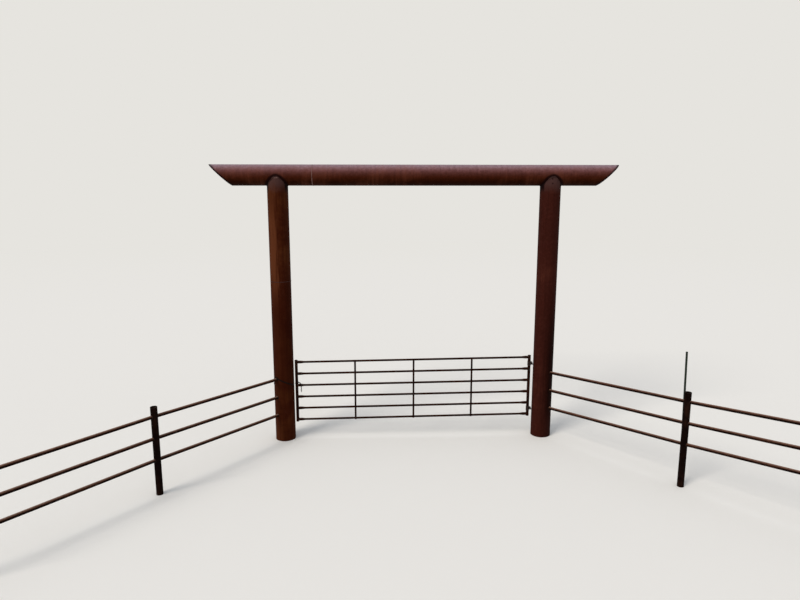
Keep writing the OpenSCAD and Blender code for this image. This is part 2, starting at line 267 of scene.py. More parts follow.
def rust_patterns(tree, place, patch_mm, streak_mm):
    """The patterns that weather draws on a pipe, by name. Patches are the broadest of them.

    Rain streaks are long down the pipe and narrow across it, so theirs is an (x, y, z) size.
    """
    drawn = add(tree, "ShaderNodeMapping", {"Vector": place, "Scale": tuple(per_mm(mm) for mm in streak_mm)})
    patterns = {}
    for name, where, scale, detail, roughness, distortion in (
            ("patch", place, per_mm(patch_mm), 4.0, 0.6, 0.4),
            ("blotch", place, per_mm(BLOTCH_MM), 7.0, 0.68, 0.0),
            ("streak", drawn.outputs[0], 1.0, 3.0, 0.5, 0.0),
            ("grain", place, per_mm(GRAIN_MM), 4.0, 0.7, 0.0),
            ("fleck", place, per_mm(FLECK_MM), 7.0, 0.75, 0.0)):
        patterns[name] = add(tree, "ShaderNodeTexNoise", {
            "Vector": where, "Scale": scale, "Detail": detail,
            "Roughness": roughness, "Distortion": distortion}).outputs["Fac"]
    patterns["pit"] = add(tree, "ShaderNodeTexVoronoi", {"Vector": place, "Scale": per_mm(PIT_MM)},
                          feature="SMOOTH_F1").outputs["Distance"]
    return patterns


print("blotch, fleck, grain and pit:", BLOTCH_MM, FLECK_MM, GRAIN_MM, PIT_MM, "mm")

# %% [markdown]
# The tone depends first of all on which way the steel faces, and a colour ramp over the height of
# the normal gives it that. The ramp holds painted light: lighter tones on the upper faces as a
# painted reflection of the sky, and darker ones underneath as painted shade. The line where the pale
# tones end isn't clean on a real pipe, so the blotches push it up and down. A ramp drawn by height
# above the ground would need a new one for every pipe.

# %% The tone by which way the steel faces, with painted light on top and painted shade underneath
FACING_WAVER = 0.24


def tone_and_painted_light_by_facing(tree, normal, blotch, tones_with_painted_light):
    """A ramp through the (height of the normal, tone) pairs, from -1, straight down, to 1, straight up. Its
    tones paint light: lighter on top, and painted shade underneath.
    """
    facing = add(tree, "ShaderNodeSeparateXYZ", {0: normal}).outputs["Z"]
    uneven = add(tree, "ShaderNodeMath", {0: blotch, 1: FACING_WAVER, 2: facing},
                 operation="MULTIPLY_ADD").outputs[0]
    share = add(tree, "ShaderNodeMapRange", {"Value": uneven, "From Min": FACING_WAVER / 2 - 1,
                                             "From Max": FACING_WAVER / 2 + 1}).outputs[0]
    # The ramp paints light and shade: its upper tones stand for light falling on top, its lower ones for
    # shade
    ramp = add(tree, "ShaderNodeValToRGB", {0: share})
    steps = ramp.color_ramp.elements
    steps[0].color, steps[-1].color = paint(tones_with_painted_light[0][1]), paint(tones_with_painted_light[-1][1])
    for height, tone in tones_with_painted_light[1:-1]:
        steps.new((height + 1) / 2).color = paint(tone)
    return ramp.outputs["Color"]


# %% [markdown]
# On that tone every pattern makes its own light and dark. Flecks of scale that still hold are dark
# and sharp-edged, so they get a narrow range and the others a wide one. Warm rust comes last, in
# runs inside the patches where the scale has come off, and as specks everywhere.

# %% Light, dark and warm rust on that tone
MOTTLING = (                # The pattern, its values that count, and the brightness that they give
    ("blotch", (0.30, 0.70), (0.87, 1.13)),
    ("patch", (0.35, 0.65), (0.92, 1.08)),
    ("streak", (0.32, 0.60), (0.89, 1.05)),
    ("fleck", (0.54, 0.60), (1.03, 0.78)),
    ("grain", (0.30, 0.70), (0.86, 1.14)),
)


def mottled(tree, colour, patterns):
    """The colour, made lighter and darker by each pattern in turn."""
    depth = 1.0
    for name, (start, end), (dim, bright) in MOTTLING:
        layer = add(tree, "ShaderNodeMapRange", {"Value": patterns[name], "From Min": start, "From Max": end,
                                                 "To Min": dim, "To Max": bright}).outputs[0]
        depth = add(tree, "ShaderNodeMath", {0: depth, 1: layer}, operation="MULTIPLY").outputs[0]
    return add(tree, "ShaderNodeVectorMath", {0: colour, 3: depth}, operation="SCALE").outputs[0]


def warmed(tree, colour, patterns, warm, warmth):
    """The colour with warm rust over it, in runs and specks. Warmth is how strong they are, up to 1."""
    bare = add(tree, "ShaderNodeMapRange", {"Value": patterns["patch"], "From Min": 0.5, "From Max": 0.64,
                                            "To Max": warmth}).outputs[0]
    runny = add(tree, "ShaderNodeMapRange", {"Value": patterns["streak"], "From Min": 0.4, "From Max": 0.62,
                                             "To Min": 0.35}).outputs[0]
    runs = add(tree, "ShaderNodeMath", {0: bare, 1: runny}, operation="MULTIPLY").outputs[0]
    specks = add(tree, "ShaderNodeMapRange", {"Value": patterns["grain"], "From Min": 0.6, "From Max": 0.72,
                                              "To Max": warmth}).outputs[0]
    either = add(tree, "ShaderNodeMath", {0: runs, 1: specks}, operation="MAXIMUM").outputs[0]
    return add(tree, "ShaderNodeMix", {0: either, 6: colour, 7: paint(warm)}, data_type="RGBA").outputs[2]


def stained_and_shaded(tree, colour, place, stains_and_shade):
    """The colour with stains and painted shade over it. Each is a function that draws its own mask and names
    its tone.
    """
    for mark in stains_and_shade:
        mask, tone = mark(tree, place)
        colour = add(tree, "ShaderNodeMix", {0: mask, 6: colour, 7: paint(tone)}, data_type="RGBA").outputs[2]
    return colour


# %% [markdown]
# Rust is an oxide and not a bare metal, so it has no metallic value. It is so matt and porous that
# it mirrors much less than paint does, which the low specular level says. Its relief is too shallow
# to model, so three bumps of a millimetre or less catch the light: flakes, pits and grain.

# %% The coats of rust together
RUST_SPECULAR = 0.02
PAINT_SPECULAR = 0.5        # At this level a surface mirrors 4 % of what it faces
RELIEF = (("fleck", 0.40, 0.0010), ("pit", 0.35, 0.0006), ("grain", 0.30, 0.0004))


def rust_relief(tree, patterns):
    """Flakes, pits and grain, each bump laid on the one before, as (pattern, strength, depth in metres)."""
    below = {}
    for name, strength, depth in RELIEF:
        bump = add(tree, "ShaderNodeBump", {"Height": patterns[name], "Strength": strength,
                                            "Distance": depth, **below})
        below = {"Normal": bump.outputs[0]}
    return below["Normal"]


def weathered_steel_with_painted_light(name, tones_with_painted_light, warm, streak_mm, roughness, warmth=0.5, patch_mm=650, stains_and_shade=()):
    """Rusted pipe, with painted light by facing: lighter on top and painted shade underneath. Warm is the
    tone of bare rust, and roughness is (least, most).
    """
    finish, tree = bare_finish(name)
    where = add(tree, "ShaderNodeTexCoord").outputs
    patterns = rust_patterns(tree, where["Object"], patch_mm, streak_mm)
    # Painted light: lighter on the upper faces, and painted shade underneath
    colour = tone_and_painted_light_by_facing(tree, where["Normal"], patterns["blotch"], tones_with_painted_light)
    colour = mottled(tree, colour, patterns)
    colour = warmed(tree, colour, patterns, warm, warmth)
    colour = stained_and_shaded(tree, colour, where["Object"], stains_and_shade)
    rough = add(tree, "ShaderNodeMapRange", {"Value": patterns["blotch"], "From Min": 0.3, "From Max": 0.7,
                                             "To Min": roughness[0], "To Max": roughness[1]}).outputs[0]
    steel = add(tree, "ShaderNodeBsdfPrincipled", {
        "Base Color": colour, "Roughness": rough, "Normal": rust_relief(tree, patterns),
        "Metallic": 0.0, "Specular IOR Level": RUST_SPECULAR})
    add(tree, "ShaderNodeOutputMaterial", {"Surface": steel.outputs[0]})
    return finish


print("rust mirrors", RUST_SPECULAR / PAINT_SPECULAR * 4, "% of what it faces")

# %% [markdown]
# ## Dark rims at the beam's ends, and painted shade at its joints
#
# The beam is dark along its mitred ends, nearly black at the cut. Round the head of each post,
# painted shade draws a dark arch on the beam and dark corners on the post, where the recess of the
# joint and the beam's underside lie in shade. All these marks follow a shape that is easy to write
# down, so each is drawn from the place on the pipe and needs no image.
#
# Two helpers draw them. A stain's edge wavers because a noise is added to the value that draws it,
# and its mask is the product of soft steps, one for each side on which it fades.

# %% Wavering edges and soft masks
def wavering(tree, place, value, size_mm, amount, detail=4.0):
    """A value with noise added, up to the amount. The noise's features are (x, y, z) mm in size."""
    drawn = add(tree, "ShaderNodeMapping", {"Vector": place, "Scale": tuple(per_mm(mm) for mm in size_mm)})
    noise = add(tree, "ShaderNodeTexNoise", {"Vector": drawn.outputs[0], "Scale": 1.0, "Detail": detail})
    return add(tree, "ShaderNodeMath", {0: noise.outputs["Fac"], 1: amount, 2: value},
               operation="MULTIPLY_ADD").outputs[0]


def soft_mask(tree, *steps):
    """The product of soft steps, each (value, (where it starts, where it ends), (mask there, mask there))."""
    mask = 1.0
    for value, (start, end), (mask_at_start, mask_at_end) in steps:
        step = add(tree, "ShaderNodeMapRange", {"Value": value, "From Min": start, "From Max": end,
                                                "To Min": mask_at_start, "To Max": mask_at_end},
                   interpolation_type="SMOOTHSTEP").outputs[0]
        mask = add(tree, "ShaderNodeMath", {0: mask, 1: step}, operation="MULTIPLY").outputs[0]
    return mask


# %% Black rims along the beam's cut ends
MITRE_LEAN = math.radians(47)
BLACK_RIM_WIDTH = 0.036
BLACK_RIM_WAVER = 0.02


def black_rim_at_cuts(tree, place):
    """A black rim along both mitred ends, by the distance in from the cut."""
    corner = (beam_axis.x, 0.0, beam_high.z)
    tip = (beam_high.x - beam_low.x) / 2 * math.cos(MITRE_LEAN)
    slope = (-math.cos(MITRE_LEAN), 0.0, -math.sin(MITRE_LEAN))
    local = add(tree, "ShaderNodeVectorMath", {0: place, 1: corner}, operation="SUBTRACT").outputs[0]
    folded = add(tree, "ShaderNodeVectorMath", {0: local}, operation="ABSOLUTE").outputs[0]
    inward = add(tree, "ShaderNodeVectorMath", {0: folded, 1: slope},
                 operation="DOT_PRODUCT").outputs["Value"]
    uneven = wavering(tree, place, inward, (40, 40, 40), -BLACK_RIM_WAVER, detail=3.0)
    black_to = BLACK_RIM_WIDTH / 3 - BLACK_RIM_WAVER / 2
    return soft_mask(tree, (uneven, (BLACK_RIM_WIDTH - tip, black_to - tip), (0.0, 0.92))), "#12080c"


print("burnt rims", BLACK_RIM_WIDTH * 1000, "mm wide")

# %% [markdown]
# The two arches and the two pairs of corners are one drawing. The posts stand evenly about the
# middle, so folding the length there makes both heads one. On that, the distance aside and the
# height above the beam's underside, each as a share of the arch's size and raised to a power, add up
# to 1 on the arch. A power of 1 gives a straight-sided point and 2 gives half an oval, and these
# arches lie in between.

# %% Painted shade: dark arches and corners round the posts' heads
def head_field(tree, place, half_width, height, roundness):
    """Grows from 0 in the middle of each post's head to 1 on an arch and beyond it outside.

    Also returns the height above the beam's underside, where the arch has its foot.
    """
    spot = add(tree, "ShaderNodeSeparateXYZ", {0: place}).outputs
    folded = add(tree, "ShaderNodeMath", {0: spot["X"]}, operation="ABSOLUTE").outputs[0]
    off = add(tree, "ShaderNodeMath", {0: folded, 1: posts["hinge"][0].x}, operation="SUBTRACT").outputs[0]
    aside = add(tree, "ShaderNodeMath", {0: off}, operation="ABSOLUTE").outputs[0]
    above = add(tree, "ShaderNodeMath", {0: spot["Z"], 1: beam_low.z}, operation="SUBTRACT").outputs[0]
    field = 0.0
    for distance, size in ((aside, half_width), (above, height)):
        share = add(tree, "ShaderNodeMath", {0: distance, 1: size}, operation="DIVIDE").outputs[0]
        share = add(tree, "ShaderNodeMath", {0: share, 1: 0.0}, operation="MAXIMUM").outputs[0]
        part = add(tree, "ShaderNodeMath", {0: share, 1: roundness}, operation="POWER").outputs[0]
        field = add(tree, "ShaderNodeMath", {0: field, 1: part}, operation="ADD").outputs[0]
    return field, above


def painted_shade_arch(tree, place):
    """Painted shade: a dark arch on the beam round the head of each post, where the joint's recess is shaded.
    """
    field, _ = head_field(tree, place, half_width=0.205, height=0.205, roundness=1.7)
    return soft_mask(tree, (field, (1.32, 0.98), (0.0, 0.92))), "#140404"


def painted_shade_corners(tree, place):
    """Painted shade: dark corners on the sides of each post's head, where the beam's underside shades them.
    """
    field, above = head_field(tree, place, half_width=0.155, height=0.175, roundness=1.8)
    outside = (field, (0.9, 1.15), (0.0, 0.9))
    near_the_beam = (above, (-0.16, -0.03), (0.0, 1.0))
    return soft_mask(tree, outside, near_the_beam), "#100405"


# %% [markdown]
# Slag and heat have greyed the head of each post for a hand's width below the beam. On the front of
# the hinge post's head there are also two small burnt spots, where an arc was struck.

# %% Greyed heads and burnt spots
# How far each spot is aside from the post's middle, and above the beam's underside
BURNT_SPOTS = ((-0.018, 0.132), (-0.014, 0.042))
# There is no stain this far from a spot's middle, and full stain this near
SPOT_EDGE = (0.022, 0.010)


def bleached_head(tree, place):
    """Grey rust over the head of each post, with a ragged foot."""
    height = add(tree, "ShaderNodeSeparateXYZ", {0: place}).outputs["Z"]
    uneven = wavering(tree, place, height, (90, 90, 90), 0.16)
    return soft_mask(tree, (uneven, (beam_axis.z - 0.30, beam_axis.z - 0.02), (0.0, 0.75))), "#463230"


def burnt_spots(tree, place):
    """Two small burnt spots, one over the other, on the front of the hinge post's head."""
    axis, radius = posts["hinge"]
    nearest = SPOT_EDGE[0]
    for aside, above in BURNT_SPOTS:
        spot = (axis.x + aside, axis.y - radius, beam_low.z + above)
        gap = add(tree, "ShaderNodeVectorMath", {0: place, 1: spot}, operation="DISTANCE").outputs["Value"]
        nearest = add(tree, "ShaderNodeMath", {0: nearest, 1: gap}, operation="MINIMUM").outputs[0]
    return soft_mask(tree, (nearest, SPOT_EDGE, (0.0, 0.8))), "#1c0606"


print("posts' heads", round(crown_drop * 1000, 1), "mm below the beam's axis, spots:", len(BURNT_SPOTS))

# %% [markdown]
# ## Stains down the posts
#
# Each post also varies in tone down its length. The latch post has a band of orange rust on its
# weather side and has kept more dark scale lower down. The hinge post is darker down its right side,
# nearly black at about the height of the gate. The values are heights above the ground and distances
# from the post's axis, in metres.

# %% Stains down the latch post and the hinge post
def weather_side(tree, place):
    """A band of orange rust down the left of the latch post, from below its head to its girth weld."""
    spot = add(tree, "ShaderNodeSeparateXYZ", {0: place}).outputs
    across = wavering(tree, place, spot["X"], (25, 25, 500), 0.26)
    middle = posts["latch"][0].x
    right_edge = (across, (middle + 0.145, middle + 0.05), (0.0, 0.86))
    left_edge = (across, (middle - 0.07, middle + 0.015), (0.4, 1.0))
    foot = (spot["Z"], (2.7, 3.6), (0.1, 1.0))
    head = (spot["Z"], (4.95, 4.35), (0.3, 1.0))
    return soft_mask(tree, right_edge, left_edge, foot, head), "#552d19"


def dark_length(tree, place):
    """The latch post has kept more of its dark scale between its girth weld and its foot."""
    darkest_at = 1.9
    height = add(tree, "ShaderNodeSeparateXYZ", {0: place}).outputs["Z"]
    off = add(tree, "ShaderNodeMath", {0: height, 1: darkest_at}, operation="SUBTRACT").outputs[0]
    away = add(tree, "ShaderNodeMath", {0: off}, operation="ABSOLUTE").outputs[0]
    return soft_mask(tree, (away, (1.4, 0.4), (0.0, 0.6))), "#260802"


def dark_right_side(tree, place):
    """The hinge post's right side, which is darkest at about the height of the gate."""
    spot = add(tree, "ShaderNodeSeparateXYZ", {0: place}).outputs
    across = wavering(tree, place, spot["X"], (40, 40, 600), 0.14)
    middle = posts["hinge"][0].x
    left_edge = (across, (middle - 0.09, middle + 0.20), (0.0, 0.85))
    head = (spot["Z"], (3.6, 1.6), (0.12, 1.0))
    foot = (spot["Z"], (0.2, 0.8), (0.5, 1.0))
    return soft_mask(tree, left_edge, head, foot), "#0c0201"


# %% [markdown]
# ## The pipes' own patinas
#
# Each run of pipe is rolled carbon steel that has weathered in its own way. They all come from the
# same function, because one rust on one steel differs only in its tones, streaks and stains. The
# first list of each gives its tones by facing, and these paint light: lighter on the upper faces and
# darker underneath as painted shade.

# %% Patinas of the beam and the gateway posts
# The palest and reddest, with streaks round it where rain runs down its sides. Its pale mauve top is
# a painted reflection of the sky, and its near-black underside is painted shade
beam_patina = weathered_steel_with_painted_light(
    "weathered_rolled_steel_of_beam",
    [(-1.0, "#1a0500"), (-0.6, "#240800"), (-0.35, "#301003"), (-0.15, "#3a160a"), (0.05, "#43211a"),
     (0.24, "#502d29"), (0.44, "#633f40"), (0.63, "#765659"), (0.83, "#866e77"), (1.0, "#8d7b86")],
    warm="#663828", streak_mm=(45, 700, 700), roughness=(0.5, 0.7), warmth=0.25,
    stains_and_shade=(black_rim_at_cuts, painted_shade_arch))
# Chocolate brown with orange runs down it
latch_post_patina = weathered_steel_with_painted_light(
    "weathered_rolled_steel_of_latch_post", [(-1.0, "#240a02"), (0.0, "#321004"), (1.0, "#5a4640")],
    warm="#4a2610", streak_mm=(30, 30, 900), roughness=(0.52, 0.72), warmth=0.6,
    stains_and_shade=(dark_length, weather_side, bleached_head, painted_shade_corners))
# A redder and plainer brown, nearly black down its right side
hinge_post_patina = weathered_steel_with_painted_light(
    "weathered_rolled_steel_of_hinge_post", [(-1.0, "#240b07"), (0.0, "#34140e"), (1.0, "#5a4641")],
    warm="#48241a", streak_mm=(30, 30, 900), roughness=(0.52, 0.72), warmth=0.5,
    stains_and_shade=(dark_right_side, bleached_head, burnt_spots, painted_shade_corners))
print("nodes in the beam's and the posts' patinas:",
      [len(patina.node_tree.nodes) for patina in (beam_patina, latch_post_patina, hinge_post_patina)])

# %% Patinas of the fences and the gate
# Nearly black, with a little brown
fence_post_patina = weathered_steel_with_painted_light(
    "weathered_rolled_steel_of_fence_posts", [(-1.0, "#060201"), (0.0, "#0d0403"), (1.0, "#4a3c34")],
    warm="#2e1a10", streak_mm=(18, 18, 600), roughness=(0.5, 0.7), patch_mm=400)
# Painted light along the top only, which draws a pale line along each rail, and painted shade below it
rail_patina = weathered_steel_with_painted_light(
    "weathered_rolled_steel_of_rails",
    [(-1.0, "#080200"), (-0.4, "#0b0200"), (0.0, "#100401"), (0.25, "#1e0f09"),
     (0.5, "#3c261e"), (0.75, "#64473b"), (1.0, "#876d60")],
    warm="#45281a", streak_mm=(25, 25, 300), roughness=(0.5, 0.7), patch_mm=450, warmth=0.45)
# Dark red-brown, with only a little painted light on top and painted shade underneath
gate_patina = weathered_steel_with_painted_light(
    "weathered_rolled_steel_of_gate",
    [(-1.0, "#0a0301"), (0.0, "#170602"), (0.6, "#26120b"), (1.0, "#3a261d")],
    warm="#361a0f", streak_mm=(18, 18, 260), roughness=(0.5, 0.7), patch_mm=300)
print("patinas:", len([m for m in bpy.data.materials if m.name.startswith("weathered")]))

# %% [markdown]
# ## Finishes: hinges, chain, stake and weld metal
#
# Hinge pins and eyes are forged steel that rusts like the rest, but turning keeps their bearing
# faces bright. The chain was dipped in zinc long ago and has rusted through almost everywhere. The
# stake is rolled rail steel in a sprayed enamel that chips. Weld metal rusts greyer than the pipe
# beside it. In each, one coat shows through another in patches, so one function makes them all.

# %% One coat that shows through another
GRIT_PER_PATCH = 5          # A patch of the under coat is this many times as wide as the grit
GRIT_DEPTH = 0.0003         # Metres
DENT_DEPTH = 0.0008


def two_coats(name, under_coat, over_coat, worn, roughness, metallic, specular, grit_mm, dents=0.25,
              stains_and_shade=()):
    """An over coat with patches of the coat beneath showing through it, and stains and painted shade over
    both.

    Worn is the (start, end) of the noise between which the under coat shows. Roughness and
    metallic are each (under, over).
    """
    finish, tree = bare_finish(name)
    place = add(tree, "ShaderNodeTexCoord").outputs["Object"]
    wear = add(tree, "ShaderNodeTexNoise", {"Vector": place, "Scale": per_mm(grit_mm * GRIT_PER_PATCH),
                                            "Detail": 8.0, "Roughness": 0.7}).outputs["Fac"]
    grit = add(tree, "ShaderNodeTexNoise", {"Vector": place, "Scale": per_mm(grit_mm), "Detail": 4.0,
                                            "Roughness": 0.65}).outputs["Fac"]
    shown = add(tree, "ShaderNodeMapRange", {"Value": wear, "From Min": worn[0],
                                             "From Max": worn[1]}).outputs[0]
    tone = add(tree, "ShaderNodeMapRange", {"Value": grit, "From Min": 0.3, "From Max": 0.7,
                                            "To Min": 0.72, "To Max": 1.12}).outputs[0]
    mixed = add(tree, "ShaderNodeMix", {0: shown, 6: paint(over_coat), 7: paint(under_coat)},
                data_type="RGBA").outputs[2]
    colour = add(tree, "ShaderNodeVectorMath", {0: mixed, 3: tone}, operation="SCALE").outputs[0]
    rough = add(tree, "ShaderNodeMapRange", {"Value": shown, "To Min": roughness[1], "To Max": roughness[0]})
    metal = metallic[1]
    if metallic[0] != metallic[1]:
        metal = add(tree, "ShaderNodeMapRange", {"Value": shown, "To Min": metallic[1],
                                                 "To Max": metallic[0]}).outputs[0]
    dented = add(tree, "ShaderNodeBump", {"Height": wear, "Strength": dents,
                                          "Distance": DENT_DEPTH}).outputs[0]
    gritty = add(tree, "ShaderNodeBump", {"Height": grit, "Strength": dents, "Distance": GRIT_DEPTH,
                                          "Normal": dented}).outputs[0]
    steel = add(tree, "ShaderNodeBsdfPrincipled", {
        "Base Color": stained_and_shaded(tree, colour, place, stains_and_shade), "Roughness": rough.outputs[0],
        "Metallic": metal, "Normal": gritty, "Specular IOR Level": specular})
    add(tree, "ShaderNodeOutputMaterial", {"Surface": steel.outputs[0]})
    return finish


# %% Finishes of the hinges, the chain and the stake
OXIDE = (0.0, 0.0)          # Neither coat is bare metal
# Real grit is finer than 1 mm on all of these. It is drawn coarser, so that it shows
HINGE_GRIT_MM = 4
CHAIN_GRIT_MM = 3
STAKE_GRIT_MM = 4

# Dull brown with rubbed bright places
hinge_steel = two_coats("rusted_forged_steel_worn_bright", "#8d8880", "#20120c", worn=(0.62, 0.7),
                        roughness=(0.32, 0.6), metallic=(0.9, 0.0), specular=0.2,
                        grit_mm=HINGE_GRIT_MM)
# Nearly black, with a few grey glints of zinc
chain_zinc = two_coats("rusted_hot_dipped_zinc", "#9a9792", "#0e0808", worn=(0.67, 0.73),
                       roughness=(0.4, 0.7), metallic=(0.85, 0.0), specular=0.12,
                       grit_mm=CHAIN_GRIT_MM)
# A satin green so dark that only its sheen shows the colour, with brown chips
stake_enamel = two_coats("chipped_sprayed_enamel", "#3d2418", "#0a1a0c", worn=(0.64, 0.67),
                         roughness=(0.7, 0.42), metallic=OXIDE, specular=0.3, grit_mm=STAKE_GRIT_MM,
                         dents=0.12)
print("grit on the hinges, the chain and the stake:", HINGE_GRIT_MM, CHAIN_GRIT_MM, STAKE_GRIT_MM, "mm")

# %% Finishes of the weld metal
WELD_WORN = (0.42, 0.6)
WELD_GRIT_MM = 5            # Drawn coarser than real too

# A pale line across the pipe
pale_weld = two_coats("rusted_weld_metal_pale", "#84645e", "#5c403b", worn=WELD_WORN,
                      roughness=(0.5, 0.62), metallic=OXIDE, specular=0.3, grit_mm=WELD_GRIT_MM)
# A brown line, a shade lighter than the posts, with the posts' painted shade under the beam over it too
saddle_weld = two_coats("rusted_weld_metal_brown", "#4c3431", "#2c1815", worn=WELD_WORN,
                        roughness=(0.5, 0.65), metallic=OXIDE, specular=0.05, grit_mm=WELD_GRIT_MM,
                        stains_and_shade=(painted_shade_corners,))
# Nearly as dark as the rails and the gate, so only its ripples show
dark_weld = two_coats("rusted_weld_metal_dark", "#32201a", "#140a08", worn=WELD_WORN,
                      roughness=(0.55, 0.65), metallic=OXIDE, specular=0.12, grit_mm=WELD_GRIT_MM)
print("finishes:", [finish.name for finish in (hinge_steel, chain_zinc, stake_enamel,
                                               pale_weld, saddle_weld, dark_weld)])

# %% [markdown]
# ## Finishes onto the solids
#
# The record says which finish each solid takes by its slot, so the finishes go on by slot. Only the
# two gateway posts share a slot and have weathered differently, so there the solid's name decides.

# %% Put the finishes on
FINISH = {
    "gateway_post_steel": latch_post_patina,
    "beam_steel": beam_patina,
    "fence_post_steel": fence_post_patina,
    "rail_steel": rail_patina,
    "gate_steel": gate_patina,
    "hinge_steel": hinge_steel,
    "chain_steel": chain_zinc,
    "stake_paint": stake_enamel,
}
slot_of = {row["node"]: row["material_slot"] for row in frame["record"]["subparts"]}
for name, solid in nodes.items():
    finish = hinge_post_patina if name == "hinge_post" else FINISH[slot_of[name]]
    solid.data.materials.clear()
    solid.data.materials.append(finish)
print("finished solids:", len(slot_of))

# %% [markdown]
# ## Where the pipes meet
#
# A pipe that butts onto another is cut to a saddle, called a cope, and welded all round it. The weld
# follows the edge of the cope, and that edge is already in the solid's mesh. So instead of working
# the curve out again, the next function walks the sharp edges that lie on the other pipe's surface
# and returns them as loops. Each point also gets a direction that looks out of the corner between
# the two surfaces, which is the way a bead bulges.

# %% Read the weld seams off the solids
SHARP = math.radians(25)    # The surface turns by more than this at a seam
ON_SURFACE = 0.0006         # Points this close to a surface are on it, in metres
SAME_PLACE = 2e-5           # Corners of loose triangles this close are one corner


def off_axis(point, axis_point, axis_way):
    """The straight line to a point from the nearest place on an axis."""
    line = point - axis_point
    return line - line.dot(axis_way) * axis_way


def seam_loops(node, axis_point, axis_way, radius, on_seam=None):
    """Closed loops of a solid's sharp edges that lie on a round surface, longest first.

    Each loop is a list of (place, outward) pairs. on_seam may say in another way what counts.
    """
    on_seam = on_seam or (lambda co: abs(off_axis(co, axis_point, axis_way).length - radius) < ON_SURFACE)
    solid = bmesh.new()
    solid.from_mesh(nodes[node].data)
    bmesh.ops.remove_doubles(solid, verts=solid.verts, dist=SAME_PLACE)
    solid.normal_update()
    rim = [edge for edge in solid.edges
           if len(edge.link_faces) == 2 and edge.calc_face_angle(0.0) > SHARP
           and all(on_seam(vert.co) for vert in edge.verts)]
    on_rim = set(rim)

    def outward(vert):
        other = off_axis(vert.co, axis_point, axis_way).normalized()
        own = Vector()
        for edge in vert.link_edges:
            if edge in on_rim:
                own += max((f.normal for f in edge.link_faces), key=other.dot)
        return (own.normalized() + other).normalized()

    # The walk goes through the edges in the mesh's own order, so every run gives the same loops
    loops = []
    unwalked = set(rim)
    for edge in rim:
        if edge not in unwalked:
            continue
        unwalked.discard(edge)
        start, here = edge.verts
        ring = [start, here]
        while here is not start:
            onward = next((e for e in here.link_edges if e in unwalked), None)
            if onward is None:
                break
            unwalked.discard(onward)
            here = onward.other_vert(here)
            ring.append(here)
        if here is start:
            ring.pop()
        loops.append([(v.co.copy(), outward(v)) for v in ring])
    solid.free()

    def length(loop):
        return sum((loop[i][0] - loop[i - 1][0]).length for i in range(len(loop)))
    return sorted(loops, key=length, reverse=True)


# %% [markdown]
# The two saddles under the beam are the heaviest welds. Each post was trimmed level at the crown of
# its saddle, so the gap there is widest and the bead with it. The welder then capped the front of the
# latch post's crown with two short level passes, which stay paler than the rest.

# %% A seam, and the saddles where the posts carry the beam
SADDLE_WIDTH = 0.024
CROWN_WIDTH = 0.036
CROWN_REACH = 0.045         # This far below the crown the bead has its plain width again
BELOW_BEAM = 0.001          # A saddle's lowest points are this close under the beam, or closer


class Seam:
    """A line of weld: its (place, outward) points, the bead's width, and whether it closes.

    The width is a number of metres, or a function that gives it from the place.
    """

    def __init__(self, points, width, closed=True):
        self.points, self.closed = points, closed
        self.widths = [width(place) if callable(width) else width for place, _ in points]


def saddle_width(place):
    """Wide at the crown and narrower down the sides of the saddle."""
    below = beam_axis.z - crown_drop - place.z
    return SADDLE_WIDTH + (CROWN_WIDTH - SADDLE_WIDTH) * max(0.0, 1.0 - below / CROWN_REACH)


def saddle_seam(side):
    """The seam round the head of a gateway post."""
    axis, radius = posts[side]

    def on_post_top(co):
        return abs(off_axis(co, axis, UP).length - radius) < ON_SURFACE and co.z > beam_low.z - BELOW_BEAM
    loop = seam_loops(side + "_post", beam_axis, ALONG, beam_radius, on_post_top)[0]
    print(side, "saddle:", len(loop), "points")
    return Seam(loop, saddle_width)


gateway_seams = [saddle_seam(side) for side in posts]

# %% Level passes over the latch post's crown
PASS_WIDTH = 0.017
# How far each pass is below the beam's axis, and half its length
PASSES = ((0.045, 0.050), (0.056, 0.036))
ALONG_PASS = (-1.0, -0.6, -0.2, 0.2, 0.6, 1.0)

latch_axis, latch_radius = posts["latch"]


def crown_pass(drop, half_length):
    """A short level seam on the front of the latch post."""
    points = []
    for part in ALONG_PASS:
        turn = part * half_length / latch_radius
        out = Vector((math.sin(turn), -math.cos(turn), 0))
        points.append((latch_axis + latch_radius * out + (beam_axis.z - drop) * UP, out))
    return Seam(points, PASS_WIDTH, closed=False)


pale_seams = [crown_pass(drop, half_length) for drop, half_length in PASSES]
print("passes over the crown:", len(pale_seams))

# %% [markdown]
# The beam is longer than one length of pipe, so it has a girth weld, and so has the latch post. A
# girth weld is a plain ring, which is easiest to write as a circle.

# %% Girth welds and hinge arms
GIRTH_WIDTH = 0.013
BEAM_GIRTH_X = -2.0
POST_GIRTH_Z = 3.32
ARM_WELD_WIDTH = 0.009
POINTS_ROUND_PIPE = 72


def ring(centre, way, radius, width, steps=POINTS_ROUND_PIPE, lean=0.0):
    """A round seam about an axis. Lean tips its bulge along the axis, for a bead in a corner."""
    first = way.orthogonal().normalized()
    second = way.cross(first)
    points = []
    for step in range(steps):
        turn = step * math.tau / steps
        out = math.cos(turn) * first + math.sin(turn) * second
        points.append((centre + radius * out, (out + lean * way).normalized()))
    return Seam(points, width)


pale_seams.append(ring(Vector((BEAM_GIRTH_X, beam_axis.y, beam_axis.z)), ALONG, beam_radius, GIRTH_WIDTH))
gateway_seams.append(ring(latch_axis + POST_GIRTH_Z * UP, UP, latch_radius, GIRTH_WIDTH))
hinge_axis, hinge_radius = posts["hinge"]
for level in ("upper", "lower"):
    loop = seam_loops(level + "_hinge_pin", hinge_axis, UP, hinge_radius)[0]
    gateway_seams.append(Seam(loop, ARM_WELD_WIDTH))
print("seams on the gateway:", len(gateway_seams))

